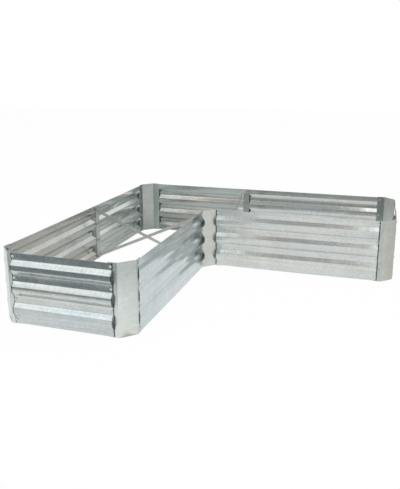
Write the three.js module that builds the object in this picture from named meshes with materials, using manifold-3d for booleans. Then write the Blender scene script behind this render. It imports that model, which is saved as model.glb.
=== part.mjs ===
// An L-shaped raised garden bed of corrugated galvanised sheet, bolted together from a kit.
// It stands on the ground and is open above and below.
// Millimetres, +Z up. The origin is on the ground, under the middle of the outline.
// The long walls run along -X (left) and +Y (back), and the bed's inner corner faces +X and -Y.

import * as THREE from 'three';
import { mergeVertices } from 'three/addons/utils/BufferGeometryUtils.js';
import Module from 'manifold-3d';

const wasm = await Module();
wasm.setup();

// ---------------------------------------------------------------- driving dimensions

// The whole bed, measured over the ridges of its panels.
const overallSide = 1524; // along each long wall
const armWidth = 600; // across each arm of the L
const bedHeight = 296; // of the corners, which stand on the ground

// The rolled panels. The valleys are the flats that the bolts go through, the ridges stand
// out from them, and what the ridges leave of the height is shared among the valleys.
const panelSheet = 0.6;
const panelLift = 3; // the panels stop this far short of the corners, above and below
const ridgeCount = 3;
const ridgeDepth = 13; // from the face of a valley to the face of a ridge
const ridgeFlat = 22; // height of a ridge's flat top
const ridgeSlope = 18.5; // height that each of its two slopes takes
const rollRadius = 5; // of every bend, at the middle of the sheet

// The folded corners: a slanting face between two flanges that lie behind the panels.
const cornerSheet = 1;
const cornerFace = 74; // width of the slanting face, from fold to fold
const cornerFlange = 37; // width of each flange, from its fold
const foldRadius = 2.5;
const panelFromFold = 17; // a panel's end stops this far from the fold
const panelFromInnerFold = 4; // and this far at the bed's inner corner

// The seam in each long wall, where two panels meet on a flat plate.
const seamFromCorner = 655; // from the square corner at the back left
const seamGap = 2; // between the ends of the two panels
const plateSheet = 1.2;
const plateWidth = 36;
const plateCorner = 3; // radius of the plate's corners

// The flat braces that cross each arm in an X, from the seam to the inner corner.
const braceSheet = 1.5;
const braceWidth = 15;
const tabToBend = 12; // from the hole in a bent-over end to the bend
const tabToEdge = 8; // from that hole to the end of the strip
const tabRadius = 2.4;

// The bolts, each with its nut.
const boltDiameter = 6;
const headDiameter = 12;
const headHeight = 3.4;
const nutAcross = 10;
const nutThickness = 5;
const threadPastNut = 2;
const boltFromEnd = 9; // from a panel's end to its line of bolts
const boltSides = 7;

// Clearances.
const seatGap = 0.3; // between faces that are bolted together
const holeClearance = 0.3; // all round a bolt in its hole
const fixedNutSunk = 0.1; // where a bolt is one piece with its corner or plate

// ---------------------------------------------------------------- worked-out sizes

const wallLine = overallSide / 2 - ridgeDepth; // from the centre to the valleys of a long wall
const innerLine = wallLine - (armWidth - 2 * ridgeDepth);

const panelHeight = bedHeight - 2 * panelLift;
const ridgeHeight = ridgeFlat + 2 * ridgeSlope;
const valleyHeight = (panelHeight - ridgeCount * ridgeHeight) / (ridgeCount + 1);
const boltHeights = Array.from({ length: ridgeCount + 1 }, (_, i) =>
  valleyHeight / 2 + i * (valleyHeight + ridgeHeight));
const lowestBolt = boltHeights[0];
const highestBolt = boltHeights[ridgeCount];

const fromFold = (side) => (side > 0 ? panelFromFold : panelFromInnerFold);
const boltFromSeam = seamGap / 2 + boltFromEnd;
const holeRadius = boltDiameter / 2 + holeClearance;

// How far each layer's middle lies behind the face of the valleys.
const cornerLayer = panelSheet + seatGap + cornerSheet / 2;
const plateLayer = panelSheet + seatGap + plateSheet / 2;

// What a bolt holds, from the face of the valley inward.
const cornerGrip = panelSheet + seatGap + cornerSheet;
const plateGrip = panelSheet + seatGap + plateSheet;

// ---------------------------------------------------------------- materials

const galvanised = (color, roughness) => () =>
  new THREE.MeshStandardMaterial({ color, roughness, metalness: 0.9 });
const panelFinish = galvanised(0xb4bbbb, 0.38);
const cornerFinish = galvanised(0xa9aea9, 0.5);
const braceFinish = galvanised(0x8f9291, 0.45);
const boltFinish = galvanised(0xc6c8c6, 0.3);

// ---------------------------------------------------------------- solids

// A closed three.js geometry as a solid that can be joined and cut.
function toSolid(geometry) {
  const bare = geometry.clone();
  for (const name of Object.keys(bare.attributes)) {
    if (name !== 'position') bare.deleteAttribute(name);
  }
  const merged = mergeVertices(bare, 1e-4);
  const index = merged.index.array;
  const triVerts = [];
  for (let i = 0; i < index.length; i += 3) {
    const [a, b, c] = index.slice(i, i + 3);
    if (a !== b && b !== c && c !== a) triVerts.push(a, b, c);
  }
  return new wasm.Manifold(new wasm.Mesh({
    numProp: 3,
    vertProperties: new Float32Array(merged.attributes.position.array),
    triVerts: new Uint32Array(triVerts),
  }));
}

// A solid as a three.js geometry with flat faces.
function toGeometry(solid) {
  const mesh = solid.getMesh();
  const geometry = new THREE.BufferGeometry();
  geometry.setAttribute('position', new THREE.BufferAttribute(mesh.vertProperties, 3));
  geometry.setIndex(new THREE.BufferAttribute(mesh.triVerts, 1));
  const faceted = geometry.toNonIndexed();
  faceted.computeVertexNormals();
  return faceted;
}

// The first geometry with all the others joined to it, or cut out of it.
const join = (base, extras) =>
  toGeometry(extras.reduce((solid, extra) => solid.add(toSolid(extra)), toSolid(base)));
const cut = (base, cutters) =>
  toGeometry(cutters.reduce((solid, cutter) => solid.subtract(toSolid(cutter)), toSolid(base)));

// The section of a sheet that follows the given centre line and is bent round at its corners.
function foldedSection(centreLine, sheet, bendRadius) {
  const largestStep = THREE.MathUtils.degToRad(24);
  const oneFace = [];
  const otherFace = [];
  const leftOf = (direction) => new THREE.Vector2(-direction.y, direction.x);
  const addPoint = (point, normal) => {
    oneFace.push(point.clone().addScaledVector(normal, sheet / 2));
    otherFace.unshift(point.clone().addScaledVector(normal, -sheet / 2));
  };
  const directions = centreLine.slice(1).map((point, i) => point.clone().sub(centreLine[i]).normalize());
  addPoint(centreLine[0], leftOf(directions[0]));
  for (let i = 1; i < directions.length; i += 1) {
    const before = directions[i - 1];
    const after = directions[i];
    const turn = Math.atan2(before.cross(after), before.dot(after));
    const side = Math.sign(turn);
    const toTangent = bendRadius * Math.tan(Math.abs(turn) / 2);
    const centre = centreLine[i].clone()
      .addScaledVector(before, -toTangent)
      .addScaledVector(leftOf(before), side * bendRadius);
    const steps = Math.ceil(Math.abs(turn) / largestStep);
    for (let step = 0; step <= steps; step += 1) {
      const direction = before.clone().rotateAround(new THREE.Vector2(), (turn * step) / steps);
      const normal = leftOf(direction);
      addPoint(centre.clone().addScaledVector(normal, -side * bendRadius), normal);
    }
  }
  addPoint(centreLine.at(-1), leftOf(directions.at(-1)));
  return new THREE.Shape([...oneFace, ...otherFace]);
}

const extrude = (shape, depth) =>
  new THREE.ExtrudeGeometry(shape, { depth, bevelEnabled: false, curveSegments: 2 });

// A cutter for a bolt hole, along X.
const holeCutter = (reach) =>
  new THREE.CylinderGeometry(holeRadius, holeRadius, reach, boltSides).rotateZ(-Math.PI / 2);

// A bolt along X with its nut run up against what it holds. Its head faces +X and seats at x = 0.
function boltWithNut(grip) {
  const headRadius = headDiameter / 2;
  const boltRadius = boltDiameter / 2;
  const length = grip + nutThickness + threadPastNut;
  const outline = [
    [0, -length],
    [boltRadius, -length],
    [boltRadius, 0],
    [headRadius, 0],
    [headRadius * 0.7, headHeight * 0.75],
    [0, headHeight],
  ].map(([radius, along]) => new THREE.Vector2(radius, along));
  const bolt = new THREE.LatheGeometry(outline, boltSides).rotateZ(-Math.PI / 2);
  const nutRadius = nutAcross / 2 / Math.cos(Math.PI / 6);
  const nut = new THREE.CylinderGeometry(nutRadius, nutRadius, nutThickness, 6)
    .rotateZ(-Math.PI / 2)
    .translate(-grip - nutThickness / 2, 0, 0);
  return join(bolt, [nut]);
}

// ---------------------------------------------------------------- the kit's pieces

// A corrugated panel in its wall's frame: x outward, y up, z along the wall.
function corrugatedPanel(length) {
  const valley = -panelSheet / 2;
  const ridge = valley + ridgeDepth;
  const centreLine = [new THREE.Vector2(valley, 0)];
  for (let i = 0; i < ridgeCount; i += 1) {
    const foot = valleyHeight + i * (valleyHeight + ridgeHeight);
    centreLine.push(
      new THREE.Vector2(valley, foot),
      new THREE.Vector2(ridge, foot + ridgeSlope),
      new THREE.Vector2(ridge, foot + ridgeSlope + ridgeFlat),
      new THREE.Vector2(valley, foot + ridgeHeight),
    );
  }
  centreLine.push(new THREE.Vector2(valley, panelHeight));
  const sheet = extrude(foldedSection(centreLine, panelSheet, rollRadius), length);
  const holes = [boltFromEnd, length - boltFromEnd].flatMap((z) =>
    boltHeights.map((y) => holeCutter(4 * panelSheet).translate(valley, y, z)));
  return cut(sheet, holes);
}

// A folded corner, with its slanting face along X and its flanges bent back towards -Y.
// The panels lie on its outer side (side = 1), or, where the bed turns the other way, on its
// inner side (side = -1). The bolts of the middle valleys are part of it.
function foldedCorner(side) {
  const bend = Math.PI / 4;
  const halfFace = cornerFace / 2;
  // A point of the right or left flange, so far from its fold.
  const onFlange = (hand, fromFold) => new THREE.Vector2(
    hand * (halfFace + fromFold * Math.cos(bend)), -fromFold * Math.sin(bend));
  const centreLine = [
    onFlange(-1, cornerFlange), onFlange(-1, 0), onFlange(1, 0), onFlange(1, cornerFlange),
  ];
  const sheet = extrude(foldedSection(centreLine, cornerSheet, foldRadius), bedHeight);
  // Turns X square to a flange, towards its panel, and moves it to the line of bolts.
  const place = (geometry, hand, height) => {
    const over = onFlange(hand, fromFold(side) + boltFromEnd);
    const facing = (hand > 0 ? bend : Math.PI - bend) + (side > 0 ? 0 : Math.PI);
    return geometry.rotateZ(facing).translate(over.x, over.y, panelLift + height);
  };
  const holes = [-1, 1].flatMap((hand) => [lowestBolt, highestBolt].map((height) =>
    place(holeCutter(4 * cornerSheet), hand, height)));
  const headSeat = cornerSheet / 2 + seatGap + panelSheet + seatGap;
  const fixedBolt = () => boltWithNut(headSeat + cornerSheet / 2 - fixedNutSunk).translate(headSeat, 0, 0);
  const bolts = [-1, 1].flatMap((hand) => boltHeights.slice(1, -1).map((height) =>
    place(fixedBolt(), hand, height)));
  return join(cut(sheet, holes), bolts);
}

// A flat plate behind a seam, in its wall's frame, with the seam at z = 0.
// The bolts of the middle valleys are part of it.
function seamPlate() {
  const outline = new THREE.Shape();
  const right = plateWidth / 2 - plateCorner;
  const top = panelHeight - plateCorner;
  outline.absarc(right, plateCorner, plateCorner, -Math.PI / 2, 0);
  outline.absarc(right, top, plateCorner, 0, Math.PI / 2);
  outline.absarc(-right, top, plateCorner, Math.PI / 2, Math.PI);
  outline.absarc(-right, plateCorner, plateCorner, Math.PI, 1.5 * Math.PI);
  const plate = extrude(outline, plateSheet)
    .translate(0, 0, -plateSheet / 2)
    .rotateY(Math.PI / 2)
    .translate(-plateLayer, 0, 0);
  const columns = [-boltFromSeam, boltFromSeam];
  const holes = columns.flatMap((z) => [lowestBolt, highestBolt].map((y) =>
    holeCutter(4 * plateSheet).translate(-plateLayer, y, z)));
  const bolts = columns.flatMap((z) => boltHeights.slice(1, -1).map((y) =>
    boltWithNut(seatGap + plateGrip - fixedNutSunk).translate(seatGap, y, z)));
  return join(cut(plate, holes), bolts);
}

// A flat strip across an arm. Its bent-over ends lie on the plate at the seam, whose hole is at
// the origin, and on the inner corner's flange, whose hole is at (run, step, rise).
// Both ends are bent towards -Y, or towards +Y on the other hand (hand = -1).
function braceStrip(run, step, rise, toBend, hand) {
  const centreLine = [[0, -tabToEdge], [0, toBend], [run, step + toBend], [run, step - tabToEdge]]
    .map(([x, y]) => new THREE.Vector2(x, hand * y));
  const developed = Math.hypot(run, step) + 2 * toBend;
  const slope = rise / developed;
  const height = braceWidth * Math.hypot(1, slope);
  const strip = extrude(foldedSection(centreLine, braceSheet, tabRadius), height)
    .translate(0, 0, -height / 2);
  // The strip climbs at one slope from its first hole, round both bends, to its last one.
  const position = strip.attributes.position;
  for (let i = 0; i < position.count; i += 1) {
    const x = position.getX(i);
    const pastBend = toBend + (step * x) / run - hand * position.getY(i);
    const along = x < run / 2 ? toBend + x - pastBend : developed - toBend - (run - x) + pastBend;
    position.setZ(i, position.getZ(i) + slope * along);
  }
  const holes = [[0, 0, 0], [run, step, rise]].map(([x, y, z]) =>
    holeCutter(4 * braceSheet).translate(x, hand * y, z));
  return cut(strip, holes);
}

// ---------------------------------------------------------------- the plan

// The walls, clockwise from above. Each starts at a square corner of the wall lines, and `seam`
// is how far along it its two panels meet. The panel ends named in `braced` hold the braces too.
const walls = [
  {
    name: 'back', corner: 'back_left', at: [-wallLine, wallLine], seam: seamFromCorner,
    panels: ['back_left_panel', 'back_right_panel'], braced: 'back_left_panel_seam',
  },
  { name: 'right', corner: 'back_right', at: [wallLine, wallLine], panels: ['right_end_panel'] },
  {
    name: 'inner_back', corner: 'right_front', at: [wallLine, innerLine],
    panels: ['inner_back_panel'], braced: 'inner_back_panel_inner',
  },
  {
    name: 'inner_left', corner: 'inner', at: [-innerLine, innerLine],
    panels: ['inner_left_panel'], braced: 'inner_left_panel_inner',
  },
  { name: 'front', corner: 'front_right', at: [-innerLine, -wallLine], panels: ['front_end_panel'] },
  {
    name: 'left', corner: 'front_left', at: [-wallLine, -wallLine], seam: 2 * wallLine - seamFromCorner,
    panels: ['left_front_panel', 'left_back_panel'], braced: 'left_front_panel_seam',
  },
];

walls.forEach((wall) => {
  wall.start = new THREE.Vector2(...wall.at);
});
walls.forEach((wall, i) => {
  wall.next = walls[(i + 1) % walls.length];
  wall.last = walls[(i + walls.length - 1) % walls.length];
  wall.along = wall.next.start.clone().sub(wall.start).normalize();
  wall.length = wall.next.start.distanceTo(wall.start);
  wall.outward = new THREE.Vector2(-wall.along.y, wall.along.x);
});
walls.forEach((wall) => {
  // Whether the bed turns outward at the corner where this wall starts, as at all but one.
  wall.cornerSide = Math.sign(wall.along.cross(wall.last.along));
  // From that square corner to the fold, along either wall.
  wall.toFold = cornerFace / Math.SQRT2 + wall.cornerSide * cornerLayer;
});

// A point on the plan: so far along a wall, and so far behind the face of its valleys.
const planPoint = (wall, along, behind) => wall.start.clone()
  .addScaledVector(wall.along, along)
  .addScaledVector(wall.outward, -behind);

// Each panel of a wall, with where it starts and ends and what it is bolted to there.
function panelsOf(wall) {
  const first = wall.toFold + fromFold(wall.cornerSide);
  const last = wall.length - wall.next.toFold - fromFold(wall.next.cornerSide);
  const atStart = { at: wall.corner, along: first, grip: cornerGrip };
  const atEnd = { at: wall.next.corner, along: last, grip: cornerGrip };
  if (wall.seam === undefined) return [{ name: wall.panels[0], ends: [atStart, atEnd] }];
  const bySeam = (side) => ({ at: 'seam', along: wall.seam + (side * seamGap) / 2, grip: plateGrip });
  return [
    { name: wall.panels[0], ends: [atStart, bySeam(-1)] },
    { name: wall.panels[1], ends: [bySeam(1), atEnd] },
  ];
}

// ---------------------------------------------------------------- the bed

const bed = new THREE.Group();

function addMesh(parent, name, geometry, finish) {
  const mesh = new THREE.Mesh(geometry, finish());
  mesh.name = name;
  parent.add(mesh);
  return mesh;
}

// The top and bottom bolts at one end of a panel. Those of the middle valleys are made with
// the corner or the plate that they go through.
function addBolts(group, wall, panel, end, along) {
  const label = `${panel.name}_${end.at}`;
  const held = end.grip + (label === wall.braced ? seatGap + braceSheet : 0);
  for (const [place, y] of [['top', highestBolt], ['bottom', lowestBolt]]) {
    addMesh(group, `bolt_${label}_${place}`, boltWithNut(held + 2 * seatGap), boltFinish)
      .position.set(seatGap, y, along);
  }
}

function addWall(wall) {
  const group = new THREE.Group();
  const outward = new THREE.Vector3(wall.outward.x, wall.outward.y, 0);
  const along = new THREE.Vector3(wall.along.x, wall.along.y, 0);
  group.quaternion.setFromRotationMatrix(
    new THREE.Matrix4().makeBasis(outward, new THREE.Vector3(0, 0, 1), along));
  group.position.set(wall.start.x, wall.start.y, panelLift);
  bed.add(group);
  for (const panel of panelsOf(wall)) {
    const [start, end] = panel.ends;
    addMesh(group, panel.name, corrugatedPanel(end.along - start.along), panelFinish)
      .position.z = start.along;
    addBolts(group, wall, panel, start, start.along + boltFromEnd);
    addBolts(group, wall, panel, end, end.along - boltFromEnd);
  }
  if (wall.seam !== undefined) {
    addMesh(group, `${wall.name}_seam_plate`, seamPlate(), cornerFinish).position.z = wall.seam;
  }
}

// The folded corner where a wall starts.
function addCorner(wall) {
  const inward = wall.along.clone().sub(wall.last.along);
  const middle = wall.start.clone().addScaledVector(
    inward, (cornerFace / Math.SQRT2 + 2 * wall.cornerSide * cornerLayer) / 2);
  const piece = addMesh(bed, `${wall.corner}_corner`, foldedCorner(wall.cornerSide), cornerFinish);
  piece.position.set(middle.x, middle.y, 0);
  piece.rotation.z = Math.atan2(-inward.y, -inward.x) - Math.PI / 2;
}

// The two strips that cross each other between a long wall's seam and the inner corner.
function addBraces(longWall, innerWall, innerAlong) {
  const seamHole = planPoint(longWall, longWall.seam - boltFromSeam, plateGrip + seatGap + braceSheet / 2);
  const innerHole = planPoint(innerWall, innerAlong, cornerGrip + seatGap + braceSheet / 2);
  const across = longWall.outward.clone().negate();
  const sideways = longWall.along.clone().negate();
  const between = innerHole.sub(seamHole);
  const run = between.dot(across);
  const step = between.dot(sideways);
  const rise = highestBolt - lowestBolt;
  const hand = Math.sign(across.cross(sideways));
  const group = new THREE.Group();
  group.position.set(seamHole.x, seamHole.y, panelLift);
  group.rotation.z = Math.atan2(across.y, across.x);
  bed.add(group);
  const falling = braceStrip(run, step, -rise, tabToBend, hand);
  const rising = braceStrip(run, step, rise, tabToBend - braceSheet - seatGap, hand);
  addMesh(group, `${longWall.name}_brace_falling`, falling, braceFinish).position.z = highestBolt;
  addMesh(group, `${longWall.name}_brace_rising`, rising, braceFinish).position.z = lowestBolt;
}

for (const wall of walls) {
  addCorner(wall);
  addWall(wall);
}
const [backWall, , innerBack, innerLeft, , leftWall] = walls;
const fromInnerCorner = innerLeft.toFold + panelFromInnerFold + boltFromEnd;
addBraces(leftWall, innerLeft, fromInnerCorner);
addBraces(backWall, innerBack, innerBack.length - fromInnerCorner);

export default bed;
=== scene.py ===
"""An L-shaped raised garden bed of corrugated galvanised sheet, dressed for its photograph."""

import math

import bmesh
import bpy
from mathutils import Matrix, Vector, noise


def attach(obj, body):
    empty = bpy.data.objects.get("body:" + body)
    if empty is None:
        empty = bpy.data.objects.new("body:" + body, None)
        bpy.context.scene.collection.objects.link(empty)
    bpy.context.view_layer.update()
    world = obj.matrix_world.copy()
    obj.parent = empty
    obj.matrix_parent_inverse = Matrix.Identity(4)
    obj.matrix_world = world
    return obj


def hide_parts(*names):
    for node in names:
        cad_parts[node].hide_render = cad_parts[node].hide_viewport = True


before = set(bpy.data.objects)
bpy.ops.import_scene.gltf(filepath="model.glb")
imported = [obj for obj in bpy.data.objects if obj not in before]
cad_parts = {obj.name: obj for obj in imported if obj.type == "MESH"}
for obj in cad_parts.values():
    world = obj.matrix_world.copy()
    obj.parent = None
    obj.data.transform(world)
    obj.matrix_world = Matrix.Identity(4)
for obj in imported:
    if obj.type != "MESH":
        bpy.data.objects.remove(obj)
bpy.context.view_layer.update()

MM = 0.001

OVERALL = 1524 * MM
ARM = 600 * MM
BED_HEIGHT = 296 * MM
PANEL_SHEET = 0.6 * MM
PANEL_STEP = 13 * MM  # between the rings of vertices along a panel
PANEL_LIFT = 3 * MM
RIDGES = 3
RIDGE_DEPTH = 13 * MM
RIDGE_FLAT = 22 * MM
RIDGE_SLOPE = 18.5 * MM
ROLL_RADIUS = 5 * MM
CORNER_SHEET = 1 * MM
CORNER_FACE = 74 * MM
CORNER_FLANGE = 37 * MM
CORNER_STEPS = 14  # rings of faces up a corner piece
FOLD_RADIUS = 2.5 * MM
PANEL_FROM_FOLD = 17 * MM
PANEL_FROM_INNER_FOLD = 4 * MM
SEAM_FROM_CORNER = 655 * MM
SEAM_GAP = 2 * MM
PLATE_SHEET = 1.2 * MM
PLATE_WIDTH = 36 * MM
PLATE_CORNER = 3 * MM
BRACE_SHEET = 1.5 * MM
BRACE_WIDTH = 15 * MM
TAB_TO_BEND = 12 * MM
TAB_TO_EDGE = 8 * MM
TAB_RADIUS = 2.4 * MM
BOLT_FROM_END = 9 * MM
BOLT_RADIUS = 3 * MM
BOLT_PAST_GRIP = 7 * MM
NUT_RADIUS = 5.77 * MM  # to its points, which makes it 10 mm across its flats
NUT_THICKNESS = 5 * MM
SEAT = 0.3 * MM

WALL_LINE = OVERALL / 2 - RIDGE_DEPTH
INNER_LINE = WALL_LINE - (ARM - 2 * RIDGE_DEPTH)
PANEL_HEIGHT = BED_HEIGHT - 2 * PANEL_LIFT
RIDGE_HEIGHT = RIDGE_FLAT + 2 * RIDGE_SLOPE
VALLEY_HEIGHT = (PANEL_HEIGHT - RIDGES * RIDGE_HEIGHT) / (RIDGES + 1)
BOLT_HEIGHTS = [VALLEY_HEIGHT / 2 + i * (VALLEY_HEIGHT + RIDGE_HEIGHT) for i in range(RIDGES + 1)]
CORNER_LAYER = PANEL_SHEET + SEAT + CORNER_SHEET / 2
PLATE_LAYER = PANEL_SHEET + SEAT + PLATE_SHEET / 2
CORNER_GRIP = PANEL_SHEET + SEAT + CORNER_SHEET
PLATE_GRIP = PANEL_SHEET + SEAT + PLATE_SHEET

UP = Vector((0, 0, 1))


# ------------------------------------------------------------------ materials

# How often each pattern of the zinc repeats in a metre, along the sheet and across it.
STREAKS = (1.6, 90.0, 1.0)  # about 600 by 11 mm
WARM_PATCHES = (2.6, 24.0, 1.0)  # about 400 by 40 mm
CLOUDS = 9.0  # about 110 mm
SPANGLE = 140.0  # about 7 mm, a little coarser than the real one so that it shows
GRAIN = 60.0  # about 17 mm

# How much of the whole range each moves the tone or the warmth, and how deep the grain is.
CLOUD_SHADE = 0.22
LEAF_SHADE = 0.10
PATCH_WARMTH = 0.9
GRAIN_RELIEF = 0.6 * MM


def linear(hex_colour):
    """An sRGB hex colour as a linear RGBA value."""
    channels = [int(hex_colour[i:i + 2], 16) / 255 for i in (1, 3, 5)]
    return [c / 12.92 if c <= 0.04045 else ((c + 0.055) / 1.055) ** 2.4 for c in channels] + [1.0]


def add_node(tree, kind, settings=None, inputs=None):
    """A new node with its settings. An input's value is a number, a colour or an output socket,
    and an input is found by its name, or by its place where several share one."""
    made = tree.nodes.new(kind)
    for name, value in (settings or {}).items():
        setattr(made, name, value)
    for name, value in (inputs or {}).items():
        if isinstance(value, bpy.types.NodeSocket):
            tree.links.new(value, made.inputs[name])
        else:
            made.inputs[name].default_value = value
    return made


def new_material(name):
    material = bpy.data.materials.new(name)
    material.use_nodes = True
    material.node_tree.nodes.clear()
    return material, material.node_tree


def galvanised(name, bright, warm, dull, roughness, streak, bump):
    """Hot-dip galvanised sheet. Its zinc freezes in small leaf-like crystals, the spangle, and the
    rolls and handling leave streaks along the sheet, some a little warmer than the rest. A piece's
    tone runs from the dull colour to the clean one and carries its painted light and shade."""
    material, tree = new_material(name)
    along = add_node(tree, "ShaderNodeUVMap", {"uv_map": "sheet"})
    drawn_out = add_node(tree, "ShaderNodeMapping", inputs={
        "Vector": along.outputs["UV"], "Scale": STREAKS})
    streaks = add_node(tree, "ShaderNodeTexNoise", {"noise_dimensions": "2D"}, {
        "Vector": drawn_out.outputs["Vector"], "Scale": 1.0, "Detail": 3.0, "Roughness": 0.55})
    patches = add_node(tree, "ShaderNodeMapping", inputs={
        "Vector": along.outputs["UV"], "Scale": WARM_PATCHES})
    warmth = add_node(tree, "ShaderNodeTexNoise", {"noise_dimensions": "2D"}, {
        "Vector": patches.outputs["Vector"], "Scale": 1.0, "Detail": 2.0})
    clouds = add_node(tree, "ShaderNodeTexNoise", {"noise_dimensions": "2D"}, {
        "Vector": along.outputs["UV"], "Scale": CLOUDS, "Detail": 3.0, "Roughness": 0.6})
    spangle = add_node(tree, "ShaderNodeTexVoronoi", {"voronoi_dimensions": "2D"}, {
        "Vector": along.outputs["UV"], "Scale": SPANGLE, "Randomness": 1.0})
    leaf = add_node(tree, "ShaderNodeSeparateColor", inputs={"Color": spangle.outputs["Color"]})
    # Streaks, clouds and leaves move the tone either way from the piece's own, which holds its
    # painted light and shade, and patches the warmth, which is stored with half of their range
    # taken off.
    tone_and_shade = add_node(tree, "ShaderNodeAttribute", {"attribute_name": "tone_and_shade"}).outputs["Fac"]
    for pattern, amount in ((streaks.outputs["Fac"], streak),
                            (clouds.outputs["Fac"], CLOUD_SHADE),
                            (leaf.outputs["Red"], LEAF_SHADE)):
        either_way = add_node(tree, "ShaderNodeMath", {"operation": "SUBTRACT"}, {
            0: pattern, 1: 0.5})
        tone_and_shade = add_node(tree, "ShaderNodeMath", {"operation": "MULTIPLY_ADD"}, {
            0: either_way.outputs[0], 1: amount, 2: tone_and_shade}).outputs[0]
    own_warmth = add_node(tree, "ShaderNodeAttribute", {"attribute_name": "warm"})
    warm_part = add_node(tree, "ShaderNodeMath", {"operation": "MULTIPLY_ADD"}, {
        0: warmth.outputs["Fac"], 1: PATCH_WARMTH, 2: own_warmth.outputs["Fac"]})
    clean = add_node(tree, "ShaderNodeMix", {"data_type": "RGBA"}, {
        "Factor": warm_part.outputs[0], "A": linear(bright), "B": linear(warm)})
    colour = add_node(tree, "ShaderNodeMix", {"data_type": "RGBA"}, {
        "Factor": tone_and_shade, "A": linear(dull), "B": clean.outputs["Result"]})
    gloss = add_node(tree, "ShaderNodeMapRange", inputs={
        "Value": leaf.outputs["Green"], "To Min": roughness - 0.04, "To Max": roughness + 0.06})
    grain = add_node(tree, "ShaderNodeTexNoise", {"noise_dimensions": "2D"}, {
        "Vector": along.outputs["UV"], "Scale": GRAIN, "Detail": 2.0})
    relief = add_node(tree, "ShaderNodeBump", inputs={
        "Height": grain.outputs["Fac"], "Strength": bump, "Distance": GRAIN_RELIEF})
    shader = add_node(tree, "ShaderNodeBsdfPrincipled", inputs={
        "Base Color": colour.outputs["Result"], "Metallic": 1.0,
        "Roughness": gloss.outputs["Result"], "Normal": relief.outputs["Normal"]})
    add_node(tree, "ShaderNodeOutputMaterial", inputs={"Surface": shader.outputs["BSDF"]})
    return material


def zinc_plate(name, bright, dull, roughness):
    """Electroplated zinc on a pressed steel bolt: smooth, pale and a little cloudy."""
    material, tree = new_material(name)
    place = add_node(tree, "ShaderNodeTexCoord")
    clouds = add_node(tree, "ShaderNodeTexNoise", inputs={
        "Vector": place.outputs["Object"], "Scale": 400.0, "Detail": 2.0})
    colour = add_node(tree, "ShaderNodeMix", {"data_type": "RGBA"}, {
        "Factor": clouds.outputs["Fac"], "A": linear(dull), "B": linear(bright)})
    gloss = add_node(tree, "ShaderNodeMapRange", inputs={
        "Value": clouds.outputs["Fac"], "To Min": roughness - 0.06, "To Max": roughness + 0.08})
    shader = add_node(tree, "ShaderNodeBsdfPrincipled", inputs={
        "Base Color": colour.outputs["Result"], "Metallic": 1.0,
        "Roughness": gloss.outputs["Result"]})
    add_node(tree, "ShaderNodeOutputMaterial", inputs={"Surface": shader.outputs["BSDF"]})
    return material


# The rolls leave the panels glossy and streaked, and the folded pieces and strips stay duller.
PANEL_STEEL = galvanised(
    "galvanised_steel_rolled", "#d2dee2", "#dedbd2", "#46504f", 0.18, 0.27, 0.22)
CORNER_STEEL = galvanised(
    "galvanised_steel_folded", "#d6dfdd", "#dedbd2", "#465250", 0.36, 0.12, 0.2)
BRACE_STEEL = galvanised(
    "galvanised_steel_strip", "#e6eae9", "#e4e1da", "#8a8e8e", 0.36, 0.15, 0.2)
BOLT_ZINC = zinc_plate("zinc_plated_steel", "#e6eae9", "#b4b9b8", 0.3)


# ------------------------------------------------------------------ making pieces

SHARP_FROM = math.radians(32)  # cut edges are, and the steps of a rounded bend aren't


def lay_pattern(bm, name, along, start):
    """Gives a piece sheet coordinates in metres, along it and up it, each piece from elsewhere."""
    coordinates = bm.loops.layers.uv.new("sheet")
    shift = (sum(ord(c) * (i + 3) for i, c in enumerate(name)) % 97) * 0.37
    for face in bm.faces:
        for loop in face.loops:
            place = loop.vert.co - start
            loop[coordinates].uv = (place.dot(along) + shift, place.z + shift)


def finish_piece(bm, name, material, stands_for, tone_and_shade=None, warm=None):
    """Turns a mesh that is in its place into a piece. Sheets have a tone, which holds painted light
    and shade, and a warmth by place.
    """
    bmesh.ops.recalc_face_normals(bm, faces=bm.faces)
    mesh = bpy.data.meshes.new(name)
    bm.to_mesh(mesh)
    bm.free()
    mesh.materials.append(material)
    for polygon in mesh.polygons:
        polygon.use_smooth = True
    mesh.set_sharp_from_angle(angle=SHARP_FROM)
    if tone_and_shade:
        tones_and_shades = mesh.attributes.new("tone_and_shade", "FLOAT", "POINT")
        warmths = mesh.attributes.new("warm", "FLOAT", "POINT")
        for i, vertex in enumerate(mesh.vertices):
            tones_and_shades.data[i].value = tone_and_shade(vertex.co)
            warmths.data[i].value = warm(vertex.co) - PATCH_WARMTH / 2
    piece = bpy.data.objects.new(name, mesh)
    bpy.context.scene.collection.objects.link(piece)
    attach(piece, "root")
    if stands_for:
        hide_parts(*stands_for)


def bent_line(bm, points, bend_radius, segments):
    """A line of edges through the points, with every corner between the ends bent round."""
    verts = [bm.verts.new((x, y, 0)) for x, y in points]
    for a, b in zip(verts, verts[1:]):
        bm.edges.new((a, b))
    flat = [Vector(p) for p in points]
    for i in range(1, len(points) - 1):
        turn = (flat[i] - flat[i - 1]).angle(flat[i + 1] - flat[i])
        bmesh.ops.bevel(
            bm, geom=[verts[i]], offset=bend_radius * math.tan(turn / 2), offset_type="OFFSET",
            segments=segments, profile=0.5, affect="VERTICES", material=-1)


def draw_up(bm, rises):
    """Draws all of a line's edges up along +Z, in steps, into a sheet with no thickness."""
    edges = bm.edges[:]
    for rise in rises:
        grown = bmesh.ops.extrude_edge_only(bm, edges=edges)["geom"]
        bmesh.ops.translate(
            bm, verts=[g for g in grown if isinstance(g, bmesh.types.BMVert)], vec=(0, 0, rise))
        edges = [g for g in grown if isinstance(g, bmesh.types.BMEdge)]


def thicken(bm, sheet):
    """Gives a sheet its thickness, half to each side."""
    bmesh.ops.recalc_face_normals(bm, faces=bm.faces)
    bm.normal_update()
    for vert in bm.verts:
        vert.co += vert.normal * sheet / 2
    bmesh.ops.solidify(bm, geom=bm.faces[:], thickness=sheet)


# ------------------------------------------------------------------ the plan

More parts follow.
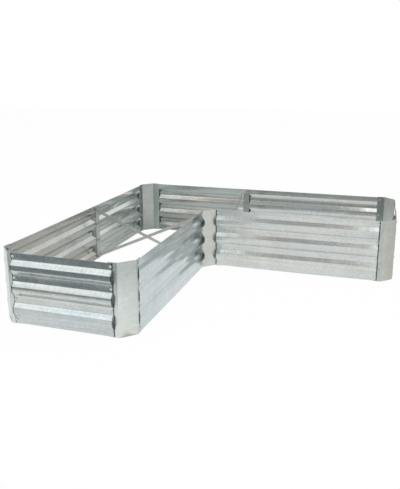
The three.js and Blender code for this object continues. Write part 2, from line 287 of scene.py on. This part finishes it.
def plan_wall(name, corner, at, panels, seam=None, braced=None):
    """A wall that starts at a corner of the plan. The braced line of bolts also holds braces."""
    return {"name": name, "corner": corner, "start": Vector((*at, 0)), "panels": panels,
            "seam": seam, "braced": braced}


WALLS = [
    plan_wall("back", "back_left", (-WALL_LINE, WALL_LINE), ["back_left_panel", "back_right_panel"],
              SEAM_FROM_CORNER, "back_left_panel_seam"),
    plan_wall("right", "back_right", (WALL_LINE, WALL_LINE), ["right_end_panel"]),
    plan_wall("inner_back", "right_front", (WALL_LINE, INNER_LINE), ["inner_back_panel"],
              None, "inner_back_panel_inner"),
    plan_wall("inner_left", "inner", (-INNER_LINE, INNER_LINE), ["inner_left_panel"],
              None, "inner_left_panel_inner"),
    plan_wall("front", "front_right", (-INNER_LINE, -WALL_LINE), ["front_end_panel"]),
    plan_wall("left", "front_left", (-WALL_LINE, -WALL_LINE),
              ["left_front_panel", "left_back_panel"],
              2 * WALL_LINE - SEAM_FROM_CORNER, "left_front_panel_seam"),
]
for i, wall in enumerate(WALLS):
    wall["next"] = WALLS[(i + 1) % len(WALLS)]
    wall["last"] = WALLS[i - 1]
    wall["along"] = (wall["next"]["start"] - wall["start"]).normalized()
    wall["length"] = (wall["next"]["start"] - wall["start"]).length
    wall["outward"] = UP.cross(wall["along"])
for wall in WALLS:
    turn = wall["along"].cross(wall["last"]["along"]).z
    wall["side"] = 1 if turn > 0 else -1
    wall["to_fold"] = CORNER_FACE / math.sqrt(2) + wall["side"] * CORNER_LAYER
    wall["from_fold"] = PANEL_FROM_FOLD if wall["side"] > 0 else PANEL_FROM_INNER_FOLD


def wall_matrix(wall):
    """From a wall's own frame (x outward, y up, z along it) to the bed's."""
    turned = Matrix((wall["outward"], UP, wall["along"])).transposed().to_4x4()
    return Matrix.Translation(wall["start"] + UP * PANEL_LIFT) @ turned


def panels_of(wall):
    """Each panel's name, with where it starts and ends, what it is bolted to and the grip there."""
    first = wall["to_fold"] + wall["from_fold"]
    last = wall["length"] - wall["next"]["to_fold"] - wall["next"]["from_fold"]
    start = (wall["corner"], first, CORNER_GRIP)
    end = (wall["next"]["corner"], last, CORNER_GRIP)
    if wall["seam"] is None:
        return [(wall["panels"][0], start, end)]
    return [
        (wall["panels"][0], start, ("seam", wall["seam"] - SEAM_GAP / 2, PLATE_GRIP)),
        (wall["panels"][1], ("seam", wall["seam"] + SEAM_GAP / 2, PLATE_GRIP), end),
    ]


# ------------------------------------------------------------------ panels

def between(low, x, high):
    return max(low, min(x, high))


def ramp(points, x):
    """The value at x on a line through a few points."""
    for (x0, y0), (x1, y1) in zip(points, points[1:]):
        if x <= x1:
            return y0 + (y1 - y0) * between(0.0, (x - x0) / (x1 - x0), 1.0)
    return points[-1][1]


# Painted light and shade: how bright each panel's zinc is painted, from its bottom to its top. The
# bands stand for lit and shaded strips of its ridges, and a whole panel is painted lighter or
# darker by how it is lit.
PANEL_LIGHT_AND_SHADE = {
    "front_end_panel": [(0.0, 0.77), (0.3, 0.74), (0.36, 0.9), (0.49, 0.92), (0.54, 0.68),
                        (0.75, 0.76), (0.86, 0.71), (1.0, 0.8)],
    "inner_back_panel": [(0.0, 0.88), (1.0, 0.82)],
    "inner_left_panel": [(0.0, 0.79), (1.0, 0.77)],
    "back_left_panel": [(0.0, 0.6), (0.16, 0.46), (0.25, 0.72), (0.385, 0.85), (0.4, 0.58),
                        (0.46, 0.74), (0.48, 1.02), (0.685, 1.02), (0.7, 0.66), (0.76, 0.86),
                        (0.78, 1.06), (1.0, 1.02)],
    "back_right_panel": [(0.0, 0.84), (1.0, 0.76)],
    "left_front_panel": [(0.0, 0.85), (1.0, 0.82)],
    "left_back_panel": [(0.0, 1.08), (1.0, 1.06)],
    "right_end_panel": [(0.0, 0.85), (1.0, 0.8)],
}

# How warm it is, likewise. On the front and back-left panels the bands tint the painted light and
# shade.
PANEL_WARMTHS = {
    "front_end_panel": [(0.0, 0.3), (0.3, 0.3), (0.36, 0.6), (0.49, 0.6), (0.54, 0.3), (1.0, 0.38)],
    "inner_back_panel": [(0.0, 0.55), (1.0, 0.55)],
    "inner_left_panel": [(0.0, 0.1), (1.0, 0.1)],
    "back_left_panel": [(0.0, 0.5), (0.385, 0.5), (0.4, 0.9), (0.46, 0.9), (0.48, 0.25),
                        (0.685, 0.25), (0.7, 0.9), (0.76, 0.9), (0.78, 0.15), (1.0, 0.15)],
    "back_right_panel": [(0.0, 0.5), (1.0, 0.5)],
    "left_front_panel": [(0.0, 0.65), (1.0, 0.65)],
    "left_back_panel": [(0.0, 0.4), (1.0, 0.4)],
    "right_end_panel": [(0.0, 0.5), (1.0, 0.5)],
}

# How far the lower part of a panel has sprung outward between its bolts.
SPRUNG = {"inner_left_panel": 9 * MM, "inner_back_panel": 6 * MM}
SPRUNG_PART = 0.45

# How much of their depth the ridges keep from a panel's start to its end, where they are pressed.
PRESSED = {
    "inner_left_panel": [(0.0, 1.0), (0.08, 0.75), (0.22, 0.32), (0.9, 0.2), (1.0, 0.2)],
    "right_end_panel": [(0.0, 0.5), (0.08, 0.85), (0.16, 1.0), (0.22, 1.0), (1.0, 0.1)],
    "left_back_panel": [(0.0, 1.0), (0.95, 1.0), (1.0, 0.4)],
}

# A panel's slow waves and its dents: how many in a metre (outward, up and along it), and how deep
# the dents are beside the waves. Both are pushed inward, and the bolts hold the ends still.
WAVES = (6, 9, 5)
DENTS = (20, 34, 15.5)
WAVE_DEPTH = 0.9 * MM
WAVE_INWARD = 0.45
DENTED = {"inner_left_panel": 1.4}
USUALLY_DENTED = 0.45
HELD_STILL = 33 * MM
FREE_FROM = 88 * MM

# Each cut end of a panel carries a painted shadow line, the shade in the joint with the piece
# behind it.
# Two rings of vertices at each end keep the painted shadow to a thin line.
END_RINGS = (4.5 * MM, 6 * MM)
END_SHADOW = 4.56 * MM
END_SHADOW_TONES = {"inner_left_panel": (0.3, 1.0), "inner_back_panel": (0.0, 0.1),
             "front_end_panel": (0.15, 0.3)}
USUAL_END_SHADOW_TONES = (0.1, 0.1)

# Painted shade near a panel's start, beside its corner: how far out from the wall's line it begins,
# and its tone from there.
SHADED_NEAR_START = {
    "inner_left_panel": (5 * MM, [(0.0, 0.1), (0.05, 0.22), (0.13, 1.0)]),
    "right_end_panel": (-RIDGE_DEPTH, [(0.0, 0.4), (0.03, 0.5), (0.12, 1.0)]),
}


def make_wavy(bm, length, dented, seed):
    """Pushes a sheet inward in slow waves and dents, and leaves it as it is where it is held."""
    for vert in bm.verts:
        p = vert.co
        from_end = min(p.z, length - p.z)
        free = between(0.0, (from_end - HELD_STILL) / (FREE_FROM - HELD_STILL), 1.0)
        in_waves = Vector([c * often for c, often in zip(p, WAVES)])
        in_dents = Vector([c * often for c, often in zip(p, DENTS)])
        wave = noise.noise(in_waves + Vector((seed, 7.3, 1.7)))
        dent = noise.noise(in_dents + Vector((3.1, seed, 5.9)))
        vert.co.x += WAVE_DEPTH * free * (wave - WAVE_INWARD + dented * (dent - 1))


def corrugated_panel(wall, name, start, end):
    """A rolled sheet with three ridges, from a start to an end along its wall."""
    valley = -PANEL_SHEET / 2
    ridge = valley + RIDGE_DEPTH
    points = [(valley, 0)]
    for i in range(RIDGES):
        foot = VALLEY_HEIGHT + i * (VALLEY_HEIGHT + RIDGE_HEIGHT)
        points += [(valley, foot), (ridge, foot + RIDGE_SLOPE),
                   (ridge, foot + RIDGE_SLOPE + RIDGE_FLAT), (valley, foot + RIDGE_HEIGHT)]
    points.append((valley, PANEL_HEIGHT))
    length = end - start
    steps = round(length / PANEL_STEP)
    first_ring, last_ring = END_RINGS
    rises = [first_ring, last_ring - first_ring]
    bm = bmesh.new()
    bent_line(bm, points, ROLL_RADIUS, 4)
    draw_up(bm, rises + [(length - 2 * last_ring) / steps] * steps + rises[::-1])
    bmesh.ops.recalc_face_normals(bm, faces=bm.faces)
    make_wavy(bm, length, DENTED.get(name, USUALLY_DENTED), sum(map(ord, name)) * 0.17)
    sprung = SPRUNG.get(name, 0)
    pressed = PRESSED.get(name, [(0.0, 1.0)])
    for vert in bm.verts:
        share = vert.co.z / length
        low = max(0.0, 1 - vert.co.y / (SPRUNG_PART * PANEL_HEIGHT))
        vert.co.x += sprung * low ** 1.5 * max(0.0, math.sin(math.pi * share)) ** 0.6
        vert.co.x = valley + (vert.co.x - valley) * ramp(pressed, share)
    thicken(bm, PANEL_SHEET)
    bmesh.ops.translate(bm, verts=bm.verts, vec=(0, 0, start))
    bmesh.ops.transform(bm, matrix=wall_matrix(wall), verts=bm.verts)
    first_shadow, last_shadow = END_SHADOW_TONES.get(name, USUAL_END_SHADOW_TONES)
    shade_from, start_shade = SHADED_NEAR_START.get(name, (RIDGE_DEPTH, None))

    def height_share(p):
        return (p.z - PANEL_LIFT) / PANEL_HEIGHT

    def tone_and_shade(p):
        along = (p - wall["start"]).dot(wall["along"])
        whole = ramp(PANEL_LIGHT_AND_SHADE[name], height_share(p))
        # A painted shadow line at each cut end.
        whole *= ramp([(END_SHADOW, first_shadow), (last_ring, 1.0)], along - start)
        whole *= ramp([(END_SHADOW, last_shadow), (last_ring, 1.0)], end - along)
        # Painted shade near the start.
        if start_shade and (p - wall["start"]).dot(wall["outward"]) > shade_from:
            whole *= ramp(start_shade, along - start)
        return whole

    def warm(p):
        return ramp(PANEL_WARMTHS[name], height_share(p))

    piece_name = name.replace("_panel", "_corrugated_panel")
    lay_pattern(bm, piece_name, wall["along"], wall["start"])
    finish_piece(bm, piece_name, PANEL_STEEL, [name], tone_and_shade, warm)


# ------------------------------------------------------------------ corners and seam plates

# Painted light and shade on each corner piece, from its foot to its head, and how warm its face is.
# Then the painted light and shade and the warmth of its flanges: the one that ends the wall before
# it, and the one after.
CORNER_LIGHT_AND_SHADE = {
    "front_right": ([(0.0, 0.92), (0.5, 0.89), (0.8, 0.69), (1.0, 0.63)], 0.28,
                    (1.0, 1.35), (0.3, 0.28)),
    "inner": ([(0.0, 0.86), (1.0, 0.87)], 0.6, (0.9, 0.9), (0.6, 0.6)),
    "right_front": ([(0.0, 0.7), (1.0, 0.66)], 0.9, (0.7, 1.05), (0.9, 0.2)),
    "back_right": ([(0.0, 1.0), (1.0, 0.9)], 0.5, (0.4, 0.8), (0.1, 0.5)),
    "back_left": ([(0.0, 0.98), (1.0, 0.84)], 0.38, (0.6, 0.92), (0.3, 0.05)),
    "front_left": ([(0.0, 1.08), (1.0, 0.98)], 0.15, (1.0, 0.9), (0.15, 0.15)),
}
# Painted shade on a flange at its fold.
FLANGE_FOLD_SHADE = (0.85, 1.12)  # a flange is darker at its fold than at its free edge
FACE_SLACK = 0.5 * MM  # how deep the waves of a face are at its middle
FACE_WAVES = 9  # in a metre
FACE_INWARD = 0.6
SLACK_PART = 0.8  # of the way from a face's middle to its folds
# The back seam plate is painted darker than the left one, as painted shade.
PLATE_SHADES = {"back": 0.54, "left": 0.94}
PLATE_WARMTH = 0.4


def folded_corner(wall):
    """A slanting face with a flange behind each of the two walls that meet at this one's start."""
    inward = wall["along"] - wall["last"]["along"]
    reach = (CORNER_FACE / math.sqrt(2) + 2 * wall["side"] * CORNER_LAYER) / 2
    middle = wall["start"] + inward * reach
    half = CORNER_FACE / 2
    slant = CORNER_FLANGE * math.sqrt(0.5)
    bm = bmesh.new()
    bent_line(bm, [(-half - slant, -slant), (-half, 0), (half, 0), (half + slant, -slant)],
              FOLD_RADIUS, 5)
    draw_up(bm, [BED_HEIGHT / CORNER_STEPS] * CORNER_STEPS)
    bmesh.ops.recalc_face_normals(bm, faces=bm.faces)
    seed = wall["start"].x * 7 + wall["start"].y * 5
    for vert in bm.verts:
        slack = max(0.0, 1 - abs(vert.co.x) / (half * SLACK_PART))
        wave = noise.noise(Vector((vert.co.x * FACE_WAVES, seed, vert.co.z * FACE_WAVES)))
        vert.co.y += FACE_SLACK * slack * (wave - FACE_INWARD)
    thicken(bm, CORNER_SHEET)
    facing = math.atan2(-inward.y, -inward.x) - math.pi / 2
    bmesh.ops.transform(
        bm, matrix=Matrix.Translation(middle) @ Matrix.Rotation(facing, 4, "Z"), verts=bm.verts)
    across = Matrix.Rotation(facing, 3, "Z") @ Vector((1, 0, 0))
    # Painted light and shade for this corner piece.
    tones_and_shades, face_warmth, flange_light_and_shade, flange_warmths = CORNER_LIGHT_AND_SHADE[wall["corner"]]
    inside_fold, outside_fold = half - 2 * MM, half + 1 * MM

    def towards_flange(p, face_value, flange_values):
        side = (p - middle).dot(across)
        flange_value = flange_values[0 if side * wall["side"] < 0 else 1]
        return ramp([(inside_fold, face_value), (outside_fold, flange_value)], abs(side))

    def tone_and_shade(p):
        from_middle = abs((p - middle).dot(across))
        # Painted shade on a flange, darkest at its fold.
        fold_shade = 1.0
        if from_middle >= half:
            at_fold, at_edge = FLANGE_FOLD_SHADE
            fold_shade = ramp([(outside_fold, at_fold), (half + slant, at_edge)], from_middle)
        return fold_shade * towards_flange(p, 1.0, flange_light_and_shade) * ramp(tones_and_shades, p.z / BED_HEIGHT)

    def warm(p):
        return towards_flange(p, face_warmth, flange_warmths)

    name = wall["corner"] + "_folded_corner"
    lay_pattern(bm, name, across, wall["start"])
    finish_piece(bm, name, CORNER_STEEL, [wall["corner"] + "_corner"],
                 tone_and_shade, warm)


def seam_plate(wall):
    """The flat plate with rounded corners behind the two panels that meet at a seam."""
    half = PLATE_WIDTH / 2
    bm = bmesh.new()
    corners = [bm.verts.new((0, y, z)) for y, z in
               ((0, -half), (PANEL_HEIGHT, -half), (PANEL_HEIGHT, half), (0, half))]
    bm.faces.new(corners)
    bmesh.ops.bevel(bm, geom=corners, offset=PLATE_CORNER, offset_type="OFFSET", segments=4,
                    profile=0.5, affect="VERTICES", material=-1)
    thicken(bm, PLATE_SHEET)
    bmesh.ops.translate(bm, verts=bm.verts, vec=(-PLATE_LAYER, 0, wall["seam"]))
    bmesh.ops.transform(bm, matrix=wall_matrix(wall), verts=bm.verts)
    name = wall["name"] + "_flat_seam_plate"
    lay_pattern(bm, name, wall["along"], wall["start"])
    finish_piece(bm, name, CORNER_STEEL, [wall["name"] + "_seam_plate"],
                 lambda p: PLATE_SHADES[wall["name"]], lambda p: PLATE_WARMTH)


# ------------------------------------------------------------------ bolts

# The domed head from its rim to its top, as a radius and a height above its seat.
HEAD_OUTLINE = [(6 * MM, 0), (6 * MM, 0.7 * MM), (5.3 * MM, 1.9 * MM), (3.7 * MM, 2.9 * MM),
                (1.7 * MM, 3.33 * MM), (0, 3.4 * MM)]
TIP_CHAMFER = 0.4 * MM
NUT_WORN = 0.5 * MM  # how far the nut's rims are worn down


def bolt(place, grip, name, stands_for=()):
    """A domed bolt along +X with its nut: its head seats at x = 0 and its nut at x = -grip."""
    bm = bmesh.new()
    tip = -grip - BOLT_PAST_GRIP
    outline = [(0, tip), (BOLT_RADIUS - TIP_CHAMFER, tip), (BOLT_RADIUS, tip + TIP_CHAMFER),
               (BOLT_RADIUS, 0)] + HEAD_OUTLINE
    verts = [bm.verts.new((along, radius, 0)) for radius, along in outline]
    edges = [bm.edges.new(pair) for pair in zip(verts, verts[1:])]
    bmesh.ops.spin(bm, geom=verts + edges, cent=(0, 0, 0), axis=(1, 0, 0), angle=2 * math.pi,
                   steps=16, use_merge=True, use_duplicate=False)
    bmesh.ops.remove_doubles(bm, verts=bm.verts, dist=1e-6)
    nut = bmesh.ops.create_cone(
        bm, cap_ends=True, segments=6, radius1=NUT_RADIUS, radius2=NUT_RADIUS, depth=NUT_THICKNESS,
        matrix=Matrix.Rotation(math.pi / 2, 4, "Y"))["verts"]
    rims = [e for e in {e for v in nut for e in v.link_edges}
            if abs(e.verts[0].co.x - e.verts[1].co.x) < 1e-7]
    worn = bmesh.ops.bevel(bm, geom=rims, offset=NUT_WORN, offset_type="OFFSET", segments=1,
                           profile=0.5, affect="EDGES", material=-1)
    nut = {v for f in worn["faces"] for v in f.verts}
    bmesh.ops.translate(bm, verts=list(nut), vec=(-grip - NUT_THICKNESS / 2, 0, 0))
    bmesh.ops.transform(bm, matrix=place, verts=bm.verts)
    finish_piece(bm, name, BOLT_ZINC, stands_for)


def add_bolts(wall, panel, end, along):
    """A panel's line of four bolts at one end. The top and bottom ones may hold a brace as well."""
    label = panel + "_" + end[0]
    frame_here = wall_matrix(wall)
    for row, height in enumerate(BOLT_HEIGHTS):
        outer = row in (0, RIDGES)
        grip = end[2] + 2 * SEAT
        if outer and label == wall["braced"]:
            grip += SEAT + BRACE_SHEET
        place = frame_here @ Matrix.Translation((SEAT, height, along))
        if outer:
            which = "top" if row else "bottom"
            bolt(place, grip, f"{label}_{which}_bolt", [f"bolt_{label}_{which}"])
        else:
            bolt(place, grip, f"{label}_middle_bolt_{row}")


# ------------------------------------------------------------------ braces

BRACE_TONE = 0.95
BRACE_WARMTH = 0.5


def brace_strip(name, place, run, step, rise, to_bend, hand):
    """A flat strip from a hole at the origin to one at (run, step, rise), with bent-over ends."""
    points = [(0, -TAB_TO_EDGE), (0, to_bend), (run, step + to_bend), (run, step - TAB_TO_EDGE)]
    bm = bmesh.new()
    bent_line(bm, [(x, hand * y) for x, y in points], TAB_RADIUS, 5)
    longest = max(bm.edges, key=lambda e: e.calc_length())
    bmesh.ops.subdivide_edges(bm, edges=[longest], cuts=40)
    developed = math.hypot(run, step) + 2 * to_bend
    slope = rise / developed
    height = BRACE_WIDTH * math.hypot(1, slope)
    draw_up(bm, [height / 2] * 2)
    for vert in bm.verts:
        past_bend = to_bend + step * vert.co.x / run - hand * vert.co.y
        if vert.co.x < run / 2:
            along = to_bend + vert.co.x - past_bend
        else:
            along = developed - to_bend - (run - vert.co.x) + past_bend
        vert.co.z += slope * along - height / 2
    thicken(bm, BRACE_SHEET)
    bmesh.ops.transform(bm, matrix=place, verts=bm.verts)
    piece_name = name.replace("_brace", "_cross_brace")
    lay_pattern(bm, piece_name, place.to_3x3() @ Vector((1, 0, slope)).normalized(),
                place.translation)
    finish_piece(bm, piece_name, BRACE_STEEL, [name],
                 lambda p: BRACE_TONE, lambda p: BRACE_WARMTH)


def add_braces(wall, inner, inner_along):
    """The two braces that cross an arm, from a long wall's seam to the bed's inner corner."""

    def hole(on_wall, along, grip):
        behind = grip + SEAT + BRACE_SHEET / 2
        return on_wall["start"] + on_wall["along"] * along - on_wall["outward"] * behind

    seam_hole = hole(wall, wall["seam"] - SEAM_GAP / 2 - BOLT_FROM_END, PLATE_GRIP)
    inner_hole = hole(inner, inner_along, CORNER_GRIP)
    across = -wall["outward"]
    sideways = -wall["along"]
    apart = inner_hole - seam_hole
    run, step = apart.dot(across), apart.dot(sideways)
    rise = BOLT_HEIGHTS[-1] - BOLT_HEIGHTS[0]
    hand = 1 if across.cross(sideways).z > 0 else -1
    turned = Matrix.Rotation(math.atan2(across.y, across.x), 4, "Z")
    for which, height, climb, to_bend in (
            ("falling", BOLT_HEIGHTS[-1], -rise, TAB_TO_BEND),
            ("rising", BOLT_HEIGHTS[0], rise, TAB_TO_BEND - BRACE_SHEET - SEAT)):
        place = Matrix.Translation(seam_hole + UP * (PANEL_LIFT + height)) @ turned
        brace_strip(f"{wall['name']}_brace_{which}", place, run, step, climb, to_bend, hand)


for wall in WALLS:
    folded_corner(wall)
    for panel, start, end in panels_of(wall):
        corrugated_panel(wall, panel, start[1], end[1])
        add_bolts(wall, panel, start, start[1] + BOLT_FROM_END)
        add_bolts(wall, panel, end, end[1] - BOLT_FROM_END)
    if wall["seam"] is not None:
        seam_plate(wall)
back, _, inner_back, inner_left, _, left = WALLS
from_inner = inner_left["to_fold"] + PANEL_FROM_INNER_FOLD + BOLT_FROM_END
add_braces(left, inner_left, from_inner)
add_braces(back, inner_back, inner_back["length"] - from_inner)


# ------------------------------------------------------------------ floor, light and camera

def in_sight(tree):
    """1 for the rays that show a background: the camera's, and those of metal and of glass."""
    rays = add_node(tree, "ShaderNodeLightPath").outputs
    mirrored = add_node(tree, "ShaderNodeMath", {"operation": "MAXIMUM"}, {
        0: rays["Is Camera Ray"], 1: rays["Is Glossy Ray"]})
    every = add_node(tree, "ShaderNodeMath", {"operation": "MAXIMUM"}, {
        0: mirrored.outputs[0], 1: rays["Is Transmission Ray"]})
    return every.outputs[0]


def flat_sheet(name, at, size, material):
    """A flat sheet of the studio's, which is no part of the bed."""
    bm = bmesh.new()
    bmesh.ops.create_grid(bm, x_segments=1, y_segments=1, size=0.5)
    bmesh.ops.scale(bm, verts=bm.verts, vec=(*size, 1))
    bmesh.ops.translate(bm, verts=bm.verts, vec=at)
    mesh = bpy.data.meshes.new(name)
    bm.to_mesh(mesh)
    bm.free()
    mesh.materials.append(material)
    sheet = bpy.data.objects.new(name, mesh)
    bpy.context.scene.collection.objects.link(sheet)
    return sheet


def pale_floor():
    """White paper that shows its plain white to the camera and the metal, and keeps a shadow."""
    material, tree = new_material("white_paper_floor")
    share = add_node(tree, "ShaderNodeMath", {"operation": "MULTIPLY"}, {
        0: in_sight(tree), 1: 0.97})
    paper = add_node(tree, "ShaderNodeBsdfDiffuse", inputs={"Color": linear("#f4f4f4")})
    white = add_node(tree, "ShaderNodeEmission", inputs={
        "Color": linear("#ffffff"), "Strength": 1.0})
    both = add_node(tree, "ShaderNodeMixShader", inputs={
        0: share.outputs[0], 1: paper.outputs[0], 2: white.outputs[0]})
    add_node(tree, "ShaderNodeOutputMaterial", inputs={"Surface": both.outputs[0]})
    flat_sheet("floor", (0, 0, -0.3 * MM), (28, 28), material)


def soft_light(name, at, towards, size, glow):
    """A softbox: a square lamp whose face is so bright, where white paper in plain light is 1."""
    lamp = bpy.data.lights.new(name, "AREA")
    lamp.shape = "RECTANGLE"
    lamp.size, lamp.size_y = size
    lamp.energy = glow * math.pi * size[0] * size[1]
    holder = bpy.data.objects.new(name, lamp)
    holder.location = at
    holder.rotation_euler = (Vector(towards) - Vector(at)).to_track_quat("-Z", "Y").to_euler()
    bpy.context.scene.collection.objects.link(holder)
    return holder


def felt_card(name, at, size, colour):
    """A card on the ground that only the metal sees, to give its shine an edge."""
    material, tree = new_material(name + "_felt")
    felt = add_node(tree, "ShaderNodeBsdfDiffuse", inputs={"Color": linear(colour)})
    add_node(tree, "ShaderNodeOutputMaterial", inputs={"Surface": felt.outputs[0]})
    card = flat_sheet(name, at, size, material)
    card.visible_camera = card.visible_diffuse = card.visible_shadow = False


def white_room():
    """The room is white up to where the camera looks and dims towards the ceiling."""
    world = bpy.data.worlds.new("studio")
    bpy.context.scene.world = world
    world.use_nodes = True
    tree = world.node_tree
    tree.nodes.clear()
    place = add_node(tree, "ShaderNodeTexCoord")
    height = add_node(tree, "ShaderNodeSeparateXYZ", inputs={"Vector": place.outputs["Generated"]})
    dimmed = add_node(tree, "ShaderNodeMapRange", inputs={
        "Value": height.outputs["Z"],
        "From Min": 0.25, "From Max": 0.75, "To Min": 1.0, "To Max": 0.5})
    white = add_node(tree, "ShaderNodeBackground", inputs={
        "Color": linear("#ffffff"), "Strength": dimmed.outputs["Result"]})
    soft = add_node(tree, "ShaderNodeBackground", inputs={
        "Color": linear("#f6f8fa"), "Strength": dimmed.outputs["Result"]})
    both = add_node(tree, "ShaderNodeMixShader", inputs={
        0: in_sight(tree), 1: soft.outputs[0], 2: white.outputs[0]})
    add_node(tree, "ShaderNodeOutputWorld", inputs={"Surface": both.outputs[0]})


def photograph_view():
    """The photograph's own view, found from the bed's edges and folds in it."""
    photo_height = 489
    lens_in_pixels = 568.98
    axis_row = 208.26  # where the lens's axis meets the photo
    view = bpy.data.cameras.new("photograph_view")
    view.sensor_fit = "AUTO"
    view.sensor_width = 36
    view.lens = lens_in_pixels / photo_height * view.sensor_width
    view.shift_y = (axis_row - photo_height / 2) / photo_height
    eye = bpy.data.objects.new("photograph_view", view)
    eye.location = (0.649, -2.525, 0.954)
    eye.rotation_euler = (math.radians(76.92), 0, math.radians(17.55))
    bpy.context.scene.collection.objects.link(eye)
    bpy.context.scene.camera = eye


pale_floor()
white_room()
soft_light("key_softbox", (-2.3, -3.3, 3.1), (-0.3, -0.7, 0.2), (1.9, 2.6), 0.88)
soft_light("top_softbox", (1.25, -1.5, 3.0), (1.25, -1.5, 0), (1.4, 1.8), 1.4)
fill = soft_light("fill_softbox", (0, 0, 4.5), (0, 0, 0), (5.0, 5.0), 1.2)
fill.visible_glossy = False
felt_card("floor_card", (-1.0, -1.705, 2 * MM), (1.4, 1.19), "#8b9191")
felt_card("bed_card", (-0.462, 0.0, 1 * MM), (0.564, 1.49), "#dddcd7")
photograph_view()
bpy.context.scene.view_settings.view_transform = "Standard"
